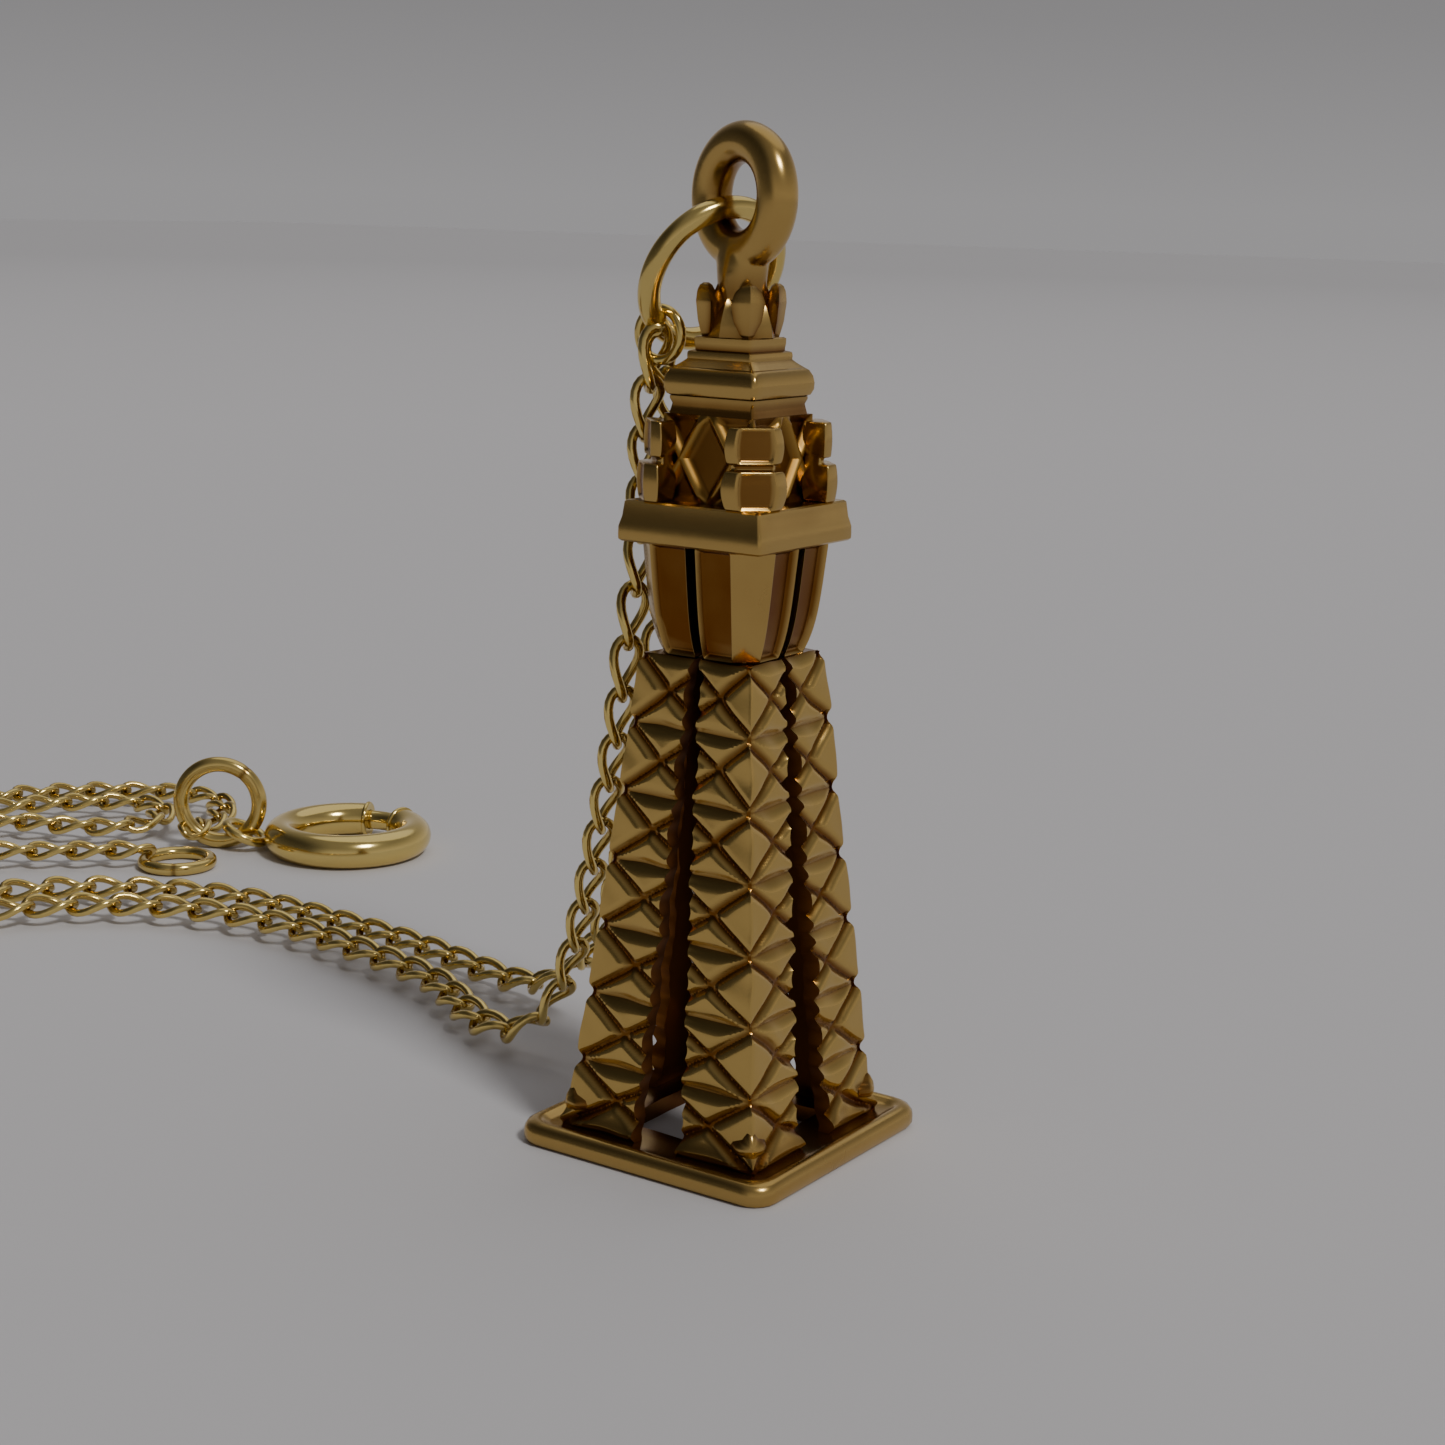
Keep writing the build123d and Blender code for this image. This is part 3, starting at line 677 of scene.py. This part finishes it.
# ---------------------------------------------------------------- lantern walls with crossed braces
def add_lantern():
    """A square block; each wall has raised crossed bars over a hollow darkened with painted shade."""
    low, high = node_box("lantern_core")
    proud = node_box("lantern_braces")[1][0]
    half, tall = high[0], high[2] - low[2]
    columns, rows = 90, 60
    places, painted_shade_and_stain = [], []
    for row in range(rows + 1):
        v = row / rows
        for turn in range(4):
            angle = turn * math.pi / 2
            for column in range(columns):
                u = 2 * column / columns - 1
                edge = 1 - abs(u)
                rise, run = abs(v - 0.5) * tall, abs(edge - 0.42) * half
                bar = max(0.0, 1 - abs(rise * 0.62 - run) / 0.26)
                bar = bar * bar * (3 - 2 * bar)
                hold = min(1.0, 6 * edge, 12 * v, 12 * (1 - v))
                reach = half - 0.10 * hold + (proud - half + 0.04) * bar * hold
                along = half * u
                places.append((math.cos(angle) * reach - math.sin(angle) * along,
                               math.sin(angle) * reach + math.cos(angle) * along, low[2] + v * tall))
                # painted shade in the hollow, lighter on the bars
                painted_shade_and_stain.append(0.9 - 0.75 * bar)
    count = 4 * columns
    faces = grid_faces(rows + 1, count, wrap_columns=True) + end_caps(len(places), count)
    finish_piece("carved_lantern", new_mesh(places, faces, painted_shade_and_stain), [recess_gold], "root",
                 ("lantern_core", "lantern_braces"))


add_lantern()


# ---------------------------------------------------------------- crown of corner petals and face leaves
def leaf_shell(angle, foot, top, outline, out_foot, out_top, thick):
    """One leaf: half widths up its height, a ridge down its front, leaning from out_foot to out_top."""
    out = np.array((math.cos(angle), math.sin(angle), 0))
    beside = np.array((-out[1], out[0], 0))
    rows, sides = 22, 20
    marks, widths = zip(*outline)
    places, painted_shade_and_stain = [], []
    for row in range(rows + 1):
        share = row / rows
        width = np.interp(share, marks, widths)
        lean = out_foot + (out_top - out_foot) * share ** 1.5
        centre = out * lean + np.array((0, 0, foot + (top - foot) * share))
        for side in range(sides):
            turn = 2 * math.pi * side / sides
            across, forward = math.cos(turn), math.sin(turn)
            fold = (1 - abs(across)) if forward >= 0 else -0.8 * (1 - abs(across) ** 3)
            scale = thick * (width / max(widths)) ** 0.6
            places.append(centre + beside * across * width + out * scale * fold)
            # painted shade, darker at the leaf's sides and towards its foot
            painted_shade_and_stain.append(0.7 * abs(across) ** 4 + 0.5 * (1 - share) ** 3)
    faces = grid_faces(rows + 1, sides, wrap_columns=True) + end_caps(len(places), sides)
    return places, faces, painted_shade_and_stain


def add_crown():
    """Upright petals stand at the corners and a lower pointed leaf on each face, round a square core."""
    low, high = node_box("crown_petals")
    petal = ((0.0, 0.14), (0.3, 0.34), (0.65, 0.42), (0.85, 0.32), (0.96, 0.17), (1.0, 0.05))
    leaf = ((0.0, 0.60), (0.3, 0.50), (0.7, 0.26), (1.0, 0.03))
    shells = []
    for turn in range(4):
        corner = math.pi / 4 + turn * math.pi / 2
        shells.append(leaf_shell(corner, low[2], high[2] - 0.08, petal, 0.80, 0.86, 0.28))
        shells.append(leaf_shell(corner + math.pi / 4, low[2], low[2] + 0.90, leaf, 0.62, 0.54, 0.30))
    core = []
    for z, half in ((low[2], 0.66), (low[2] + 0.5, 0.60), (low[2] + 0.95, 0.54), (high[2] - 0.12, 0.46)):
        core += square_loop(half, 0.12, z, 4, 8)
    count = len(core) // 4
    core_faces = grid_faces(4, count, wrap_columns=True) + end_caps(len(core), count)
    # painted shade on the core between the leaves
    shells.append((core, core_faces, [0.75] * len(core)))
    places, faces, painted_shade_and_stain = [], [], []
    for shell_places, shell_faces, shell_patina in shells:
        base = len(places)
        places += list(shell_places)
        faces += [tuple(i + base for i in face) for face in shell_faces]
        painted_shade_and_stain += shell_patina
    finish_piece("petal_crown", new_mesh(places, faces, painted_shade_and_stain), [satin_gold], "root",
                 ("crown_core", "crown_petals"), 50)


add_crown()

# ---------------------------------------------------------------- round wire, rings and the bail
def transported(path, closed=False, start=UP):
    """Tangent, side and face directions along a path, which turn as little as they can between points."""
    path = np.asarray(path, float)
    if closed:
        along = np.roll(path, -1, 0) - np.roll(path, 1, 0)
    else:
        along = np.gradient(path, axis=0)
    along /= np.linalg.norm(along, axis=1)[:, None]
    face = np.array(start, float)
    faces = []
    for tangent in along:
        face = face - tangent * (face @ tangent)
        face /= np.linalg.norm(face)
        faces.append(face)
    faces = np.array(faces)
    return along, np.cross(along, faces), faces


def wire_mesh(path, radius, sides, closed=False, start=UP):
    """Places and faces of a round wire along a path; radius is one value or one for each point."""
    path = np.asarray(path, float)
    _, side, face = transported(path, closed, start)
    radius = np.broadcast_to(radius, len(path))
    places = []
    for centre, across, outward, size in zip(path, side, face, radius):
        for step in range(sides):
            angle = 2 * math.pi * step / sides
            places.append(centre + size * (math.cos(angle) * across + math.sin(angle) * outward))
    faces = grid_faces(len(path), sides, wrap_rows=closed, wrap_columns=True)
    if not closed:
        faces += end_caps(len(places), sides)
    return np.array(places), faces


def circle(centre, across, beside, radius, count):
    """Points round a circle in the plane of two unit directions."""
    angles = np.linspace(0, 2 * math.pi, count, endpoint=False)[:, None]
    return np.array(centre) + radius * (np.cos(angles) * np.array(across) + np.sin(angles) * np.array(beside))


def add_ring(name, centre, across, beside, radius, wire, body, replaces, seam=None):
    """A polished wire ring, a little uneven, with a soldered seam at one angle."""
    count = 120
    angles = np.linspace(0, 2 * math.pi, count, endpoint=False)
    size = wire / 2 * (1 + 0.012 * np.sin(3 * angles + radius) + 0.008 * np.sin(7 * angles))
    shade_and_stain = np.full(count, 0.15)
    if seam is not None:
        gap = np.abs((angles - seam + math.pi) % (2 * math.pi) - math.pi)
        size = size * (1 - 0.05 * np.exp(-(gap / 0.05) ** 2))
        shade_and_stain += 0.8 * np.exp(-(gap / 0.06) ** 2)
    places, faces = wire_mesh(circle(centre, across, beside, radius, count), size, 24, True,
                              np.cross(across, beside))
    bm = new_mesh(places, faces, np.repeat(shade_and_stain, 24))
    return finish_piece(name, bm, [chain_gold], body, replaces)


def ring_frame(node):
    """Centre of a CAD ring and two directions in its plane, from the spread of its points."""
    points = np.array([v.co for v in nodes[node].data.vertices]) / MM
    centre = (points.max(0) + points.min(0)) / 2
    spread = np.linalg.eigh(np.cov((points - points.mean(0)).T))[1]
    return centre, spread[:, 2], spread[:, 1]


bail_low, bail_high = node_box("bail_ring")
BAIL_TURN = math.radians(18.0)
BAIL_RADIUS, BAIL_WIRE = 1.27, 1.0
bail_centre = np.array((0.0, 0.0, (bail_low[2] + bail_high[2]) / 2))
bail_axis = np.array((-math.sin(BAIL_TURN), -math.cos(BAIL_TURN), 0.0))
bail_left = np.array((bail_axis[1], -bail_axis[0], 0.0))


def add_bail():
    """The thick bail ring flows into its flared stem as one casting, with small pits."""
    centre_line = circle(bail_centre, bail_left, (0, 0, 1), BAIL_RADIUS, 96)
    ring, faces = wire_mesh(centre_line, BAIL_WIRE / 2, 32, True, bail_axis)
    stem_levels = ((21.10, 0.56, 0.56), (21.50, 0.60, 0.58), (21.76, 0.66, 0.58), (22.05, 0.74, 0.56),
                   (22.40, 0.90, 0.50), (22.62, 0.80, 0.42), (22.70, 0.50, 0.30))
    stem = []
    for z, wide, deep in stem_levels:
        for step in range(40):
            angle = 2 * math.pi * step / 40
            stem.append(wide * math.cos(angle) * bail_left + deep * math.sin(angle) * bail_axis + (0, 0, z))
    count = len(ring)
    stem_faces = grid_faces(len(stem_levels), 40, wrap_columns=True) + end_caps(len(stem), 40)
    faces = faces + [tuple(i + count for i in face) for face in stem_faces]
    bm = new_mesh(np.concatenate((ring, np.array(stem))), faces)
    bmesh.ops.recalc_face_normals(bm, faces=bm.faces)
    draft = bpy.data.meshes.new("bail_draft")
    bm.to_mesh(draft)
    bm.free()
    holder = bpy.data.objects.new("bail_draft", draft)
    scene.collection.objects.link(holder)
    remesh = holder.modifiers.new("fuse", "REMESH")
    remesh.mode, remesh.voxel_size = "VOXEL", 0.045 * MM
    soften = holder.modifiers.new("soften", "SMOOTH")
    soften.factor, soften.iterations = 0.5, 14
    bpy.context.view_layer.update()
    fused = bpy.data.meshes.new_from_object(holder.evaluated_get(bpy.context.evaluated_depsgraph_get()))
    bpy.data.objects.remove(holder)
    bm = bmesh.new()
    bm.from_mesh(fused)
    layer = bm.verts.layers.float.new("painted_shade_and_stain")
    places = np.array([vert.co for vert in bm.verts]) / MM
    dents = noise(5, places, 4.0)
    bm.normal_update()
    for vert, place, dent in zip(bm.verts, places, dents):
        out = place - bail_centre
        hole = math.hypot(out @ bail_left, out[2])
        vert.co += vert.normal * 0.012 * MM * dent
        # painted shade inside the ring's hole and down the stem towards the tower
        vert[layer] = 0.9 * max(0.0, 1 - (hole - 0.70) / 0.35) if hole > 0.5 else 0.9
        if place[2] < 22.2:
            vert[layer] = max(0.0, min(0.6, (22.0 - place[2]) * 0.9))
    finish_piece("cast_bail", bm, [satin_gold], "root", ("bail_ring", "bail_stem"), 80)


add_bail()

centre, across, beside = ring_frame("jump_ring")
add_ring("wire_jump_ring", centre, across, beside, 1.80, 0.56, "jump_ring", ("jump_ring",), 2.2)
link_centre, across, beside = ring_frame("chain_centre_link")
add_ring("wire_centre_link", link_centre, across, beside, 0.62, 0.26, "jump_ring",
         ("chain_centre_link",))
centre, across, beside = ring_frame("connector_ring")
add_ring("wire_connector_ring", centre, across, beside, 1.42, 0.55, "connector_ring",
         ("connector_ring",), 0.9)
centre, across, beside = ring_frame("end_ring")
add_ring("wire_end_ring", centre, across, beside, 1.15, 0.45, "end_ring", ("end_ring",), 4.0)


# ---------------------------------------------------------------- chain
CHAIN_WIDTH = 1.1
LINK_LENGTH, LINK_WIRE, LINK_PITCH, LINK_SPREAD = 1.85, 0.25, 1.35, 0.04
LINK_TWIST = math.radians(46)
FLOOR = CHAIN_WIDTH / 2 + 0.07    # height of the chain's centre line where it lies
strand_a = [
    tuple(link_centre + (0.0, -0.25, -0.55)),
    tuple(link_centre + (0.0, -0.5, -1.05)),
    (-2.48, -0.40, 18.2),
    (-2.74, -0.12, 17.1),
    (-2.84, 0.00, 15.8),
    (-2.82, -0.12, 14.4),
    (-2.84, -0.42, 13.0),
    (-2.95, -0.52, 11.6),
    (-3.32, -0.22, 10.0),
    (-3.92, 0.13, 8.3),
    (-4.60, 0.58, 6.4),
    (-5.25, 0.95, 4.7),
    (-5.85, 1.22, 3.2),
    (-6.50, 1.32, 1.8),
    (-7.45, 1.18, 0.85),
    (-8.80, 1.28, FLOOR),
    (-10.45, 2.10, FLOOR),
    (-12.20, 3.30, FLOOR),
    (-14.40, 3.95, FLOOR),
    (-16.60, 4.34, FLOOR),
    (-19.20, 4.80, FLOOR),
    (-21.80, 4.75, FLOOR),
    (-24.60, 4.00, FLOOR),
    (-26.90, 2.40, FLOOR),
    (-28.60, 0.20, FLOOR),
    (-29.60, -2.60, FLOOR),
]
strand_b = [
    tuple(link_centre + (-0.1, 0.3, -0.55)),
    tuple(link_centre + (-0.25, 0.9, -1.05)),
    (-2.60, 0.90, 18.1),
    (-2.80, 1.20, 16.9),
    (-2.86, 1.28, 15.5),
    (-2.88, 1.20, 14.0),
    (-3.08, 1.18, 12.3),
    (-3.55, 1.45, 10.4),
    (-4.20, 1.95, 8.3),
    (-5.00, 2.60, 6.2),
    (-5.95, 3.30, 4.3),
    (-7.00, 3.90, 2.7),
    (-8.40, 4.40, 1.45),
    (-10.15, 4.80, 0.65),
    (-12.30, 5.15, FLOOR),
    (-14.80, 5.75, FLOOR),
    (-17.40, 6.05, FLOOR),
    (-20.20, 6.20, FLOOR),
    (-23.00, 6.25, FLOOR),
    (-25.60, 5.55, FLOOR),
    (-28.10, 4.10, FLOOR),
    (-30.10, 1.80, FLOOR),
    (-31.10, -0.90, FLOOR),
]
tail_a = [
    (-42.90, -2.20, 2.45),
    (-42.95, 0.20, 1.75),
    (-42.75, 3.20, 0.85),
    (-42.10, 6.30, FLOOR),
    (-41.00, 9.30, FLOOR),
    (-39.40, 12.10, FLOOR),
    (-37.20, 14.30, FLOOR),
    (-34.70, 15.30, FLOOR),
    (-32.80, 14.70, FLOOR),
    (-31.75, 13.35, FLOOR),
    (-31.25, 12.20, 0.60),
    (-30.97, 11.35, 0.66),
]
tail_b = [
    (-41.30, -2.20, 3.80),
    (-41.35, 0.60, 3.60),
    (-41.00, 3.40, 1.80),
    (-40.40, 6.10, 0.75),
    (-39.30, 8.90, FLOOR),
    (-37.60, 11.40, FLOOR),
    (-35.60, 13.00, FLOOR),
    (-34.00, 12.70, FLOOR),
    (-33.10, 11.40, FLOOR),
    (-33.45, 9.90, FLOOR),
    (-34.90, 8.90, FLOOR),
    (-36.60, 8.30, FLOOR),
    (-37.95, 7.30, FLOOR),
    (-38.45, 5.90, FLOOR),
    (-37.80, 4.50, FLOOR),
    (-36.20, 4.00, FLOOR),
    (-34.20, 4.90, FLOOR),
    (-32.30, 6.50, FLOOR),
    (-30.70, 8.00, FLOOR),
]
coil_low, coil_high = node_box("chain_coil")
coil_centre = [(coil_low[i] + coil_high[i]) / 2 for i in range(2)]


def coil_turns(start_angle, turns, path):
    """Points of a coil wound clockwise, 16 to a turn; path gives radius and height after so many turns."""
    count = round(turns * 16)
    marks, radii, heights = zip(*path)
    points = []
    for step in range(count + 1):
        done = turns * step / count
        angle = math.radians(start_angle - 360 * done)
        radius = np.interp(done, marks, radii)
        points.append((coil_centre[0] + radius * math.cos(angle), coil_centre[1] + radius * math.sin(angle),
                       np.interp(done, marks, heights)))
    return points


LOW, MIDDLE, HIGH, TOP = 0.55, 1.65, 2.75, 3.75
coil_a = coil_turns(-4, 3.53, (
    (0.0, 6.3, LOW), (0.15, 6.75, LOW), (0.72, 6.95, LOW), (0.92, 6.95, MIDDLE), (1.72, 6.9, MIDDLE),
    (1.92, 5.9, HIGH), (2.75, 5.85, HIGH), (3.0, 6.8, HIGH), (3.53, 6.9, HIGH)))
coil_b = coil_turns(14, 3.60, (
    (0.0, 5.3, LOW), (0.2, 5.1, LOW), (0.72, 5.1, LOW), (0.92, 5.75, MIDDLE), (1.72, 5.75, MIDDLE),
    (1.95, 4.6, MIDDLE), (2.72, 4.6, MIDDLE), (2.95, 4.75, HIGH), (3.35, 4.75, HIGH), (3.60, 5.5, TOP)))


def read_spline(points, step):
    """Even points along a smooth spline whose control points are given, in millimetres."""
    curve = bpy.data.curves.new("route", "CURVE")
    curve.dimensions = "3D"
    spline = curve.splines.new("NURBS")
    spline.points.add(len(points) - 1)
    for control, point in zip(spline.points, points):
        control.co = (*(Vector(point) * MM), 1)
    spline.order_u = 3
    spline.use_endpoint_u = True
    spline.resolution_u = 24
    holder = bpy.data.objects.new("route", curve)
    scene.collection.objects.link(holder)
    bpy.context.view_layer.update()
    mesh = bpy.data.meshes.new_from_object(holder.evaluated_get(bpy.context.evaluated_depsgraph_get()))
    line = np.array([vert.co for vert in mesh.vertices]) / MM
    bpy.data.objects.remove(holder)
    lengths = np.concatenate(((0,), np.cumsum(np.linalg.norm(np.diff(line, axis=0), axis=1))))
    marks = np.linspace(0, lengths[-1], round(lengths[-1] / step) + 1)
    return np.stack([np.interp(marks, lengths, line[:, i]) for i in range(3)], 1)


def curb_link():
    """Centre line of one curb link about the origin: a long ring twisted so that its ends lie across."""
    half_wide = (CHAIN_WIDTH + LINK_SPREAD - LINK_WIRE) / 2
    half_long = (LINK_LENGTH - LINK_WIRE) / 2
    angles = np.linspace(0, 2 * math.pi, 26, endpoint=False)
    lean = LINK_TWIST * np.cos(angles)
    return np.stack((half_wide * np.sin(angles) * np.cos(lean), half_wide * np.sin(angles) * np.sin(lean),
                     half_long * np.cos(angles)), 1)


def add_chain(name, points, replaces):
    """Curb links threaded one through the next along a spline, from the centre link to the far end."""
    centres = read_spline(points, LINK_PITCH)
    along, side, face = (part[::-1] for part in transported(centres[::-1]))
    shape = curb_link()
    link_places, link_faces = wire_mesh(shape, LINK_WIRE / 2, 10, True, (1, 0, 0))
    # painted shade on the inner faces and ends of each link, where the next link passes through
    link_shade = 0.35 - 0.35 * (np.hypot(link_places[:, 0], link_places[:, 1]) > 0.40)
    places, faces, painted_shade_and_stain = [], [], []
    for centre, ahead, across, outward in zip(centres, along, side, face):
        base = sum(len(block) for block in places)
        places.append(centre + link_places @ np.array((across, outward, ahead)))
        faces += [tuple(i + base for i in quad) for quad in link_faces]
        painted_shade_and_stain.append(link_shade)
    bm = new_mesh(np.concatenate(places), faces, np.concatenate(painted_shade_and_stain))
    chain = finish_piece(name, bm, [chain_gold], None, replaces, 80)
    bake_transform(chain)


chain_parts = ["chain_strand_a", "chain_strand_b", "chain_coil", "chain_tail_a", "chain_tail_b"]


# ---------------------------------------------------------------- clasp details
CLASP_RADIUS, CLASP_TUBE = 2.4, 1.2
KNOB_ANGLE, KNOB_REACH = math.radians(146), 3.40
SPRING_FROM, SPRING_TO, SPRING_TURNS = 149.5, 200.5, 6
SPRING_RADIUS, SPRING_WIRE, SPRING_STEPS = 0.25, 0.09, 20
LIPS = {"lip_bead_far": 78.2, "lip_bead_near": 114.8}
clasp_centre = np.array(joints["clasp_bolt_slide"]["pos_m"]) / MM


def clasp_place(angle, radius=CLASP_RADIUS, height=0.0):
    """A point at an angle and distance round the clasp's axis."""
    return clasp_centre + (radius * math.cos(angle), radius * math.sin(angle), height)


def add_knob():
    """The rounded thumb button on the end of the bolt's pin."""
    out = np.array((math.cos(KNOB_ANGLE), math.sin(KNOB_ANGLE), 0))
    beside = np.array((-out[1], out[0], 0))
    profile = ((-0.10, 0.10), (-0.09, 0.24), (-0.02, 0.30), (0.08, 0.30), (0.16, 0.24), (0.20, 0.12))
    places = []
    for reach, radius in profile:
        places += list(circle(clasp_place(KNOB_ANGLE, KNOB_REACH + reach), beside, UP, radius, 28))
    faces = grid_faces(len(profile), 28, wrap_columns=True) + end_caps(len(places), 28)
    bm = new_mesh(places, faces, [0.0] * len(places))
    return finish_piece("thumb_knob", bm, [chain_gold], "clasp_bolt", (), 60)


def add_collars():
    """A rolled bead round each lip of the clasp's gap."""
    made = []
    for name, degrees in LIPS.items():
        angle = math.radians(degrees)
        out = (math.cos(angle), math.sin(angle), 0)
        lip = circle(clasp_place(angle), out, UP, CLASP_TUBE / 2 - 0.02, 48)
        places, faces = wire_mesh(lip, 0.09, 12, True, (-out[1], out[0], 0))
        bm = new_mesh(places, faces, [0.1] * len(places))
        made.append(finish_piece(name, bm, [chain_gold], "clasp", (), 60))
    return made


def add_spring():
    """The coil spring in the clasp's bore."""
    steps = SPRING_TURNS * SPRING_STEPS
    path = []
    for step in range(steps + 1):
        along = math.radians(SPRING_FROM + (SPRING_TO - SPRING_FROM) * step / steps)
        wind = 2 * math.pi * step / SPRING_STEPS
        path.append(clasp_place(along, CLASP_RADIUS + SPRING_RADIUS * math.cos(wind),
                                SPRING_RADIUS * math.sin(wind)))
    places, faces = wire_mesh(path, SPRING_WIRE / 2, 8)
    bm = new_mesh(places, faces, [0.2] * len(places))
    spring = finish_piece("coil_spring", bm, [steel], "clasp", ("clasp_spring",), 80)
    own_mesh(spring)
    return spring


clasp_pieces = [add_knob(), add_spring(), *add_collars()]
add_chain("curb_chain_a", strand_a + coil_a + tail_a, chain_parts)
add_chain("curb_chain_b", strand_b + coil_b + tail_b, chain_parts)


# ---------------------------------------------------------------- materials of the kept CAD nodes
for entry in frame["record"]["subparts"]:
    node = nodes[entry["node"]]
    node.data.materials.clear()
    node.data.materials.append(SLOT_MATERIALS[entry["material_slot"]])
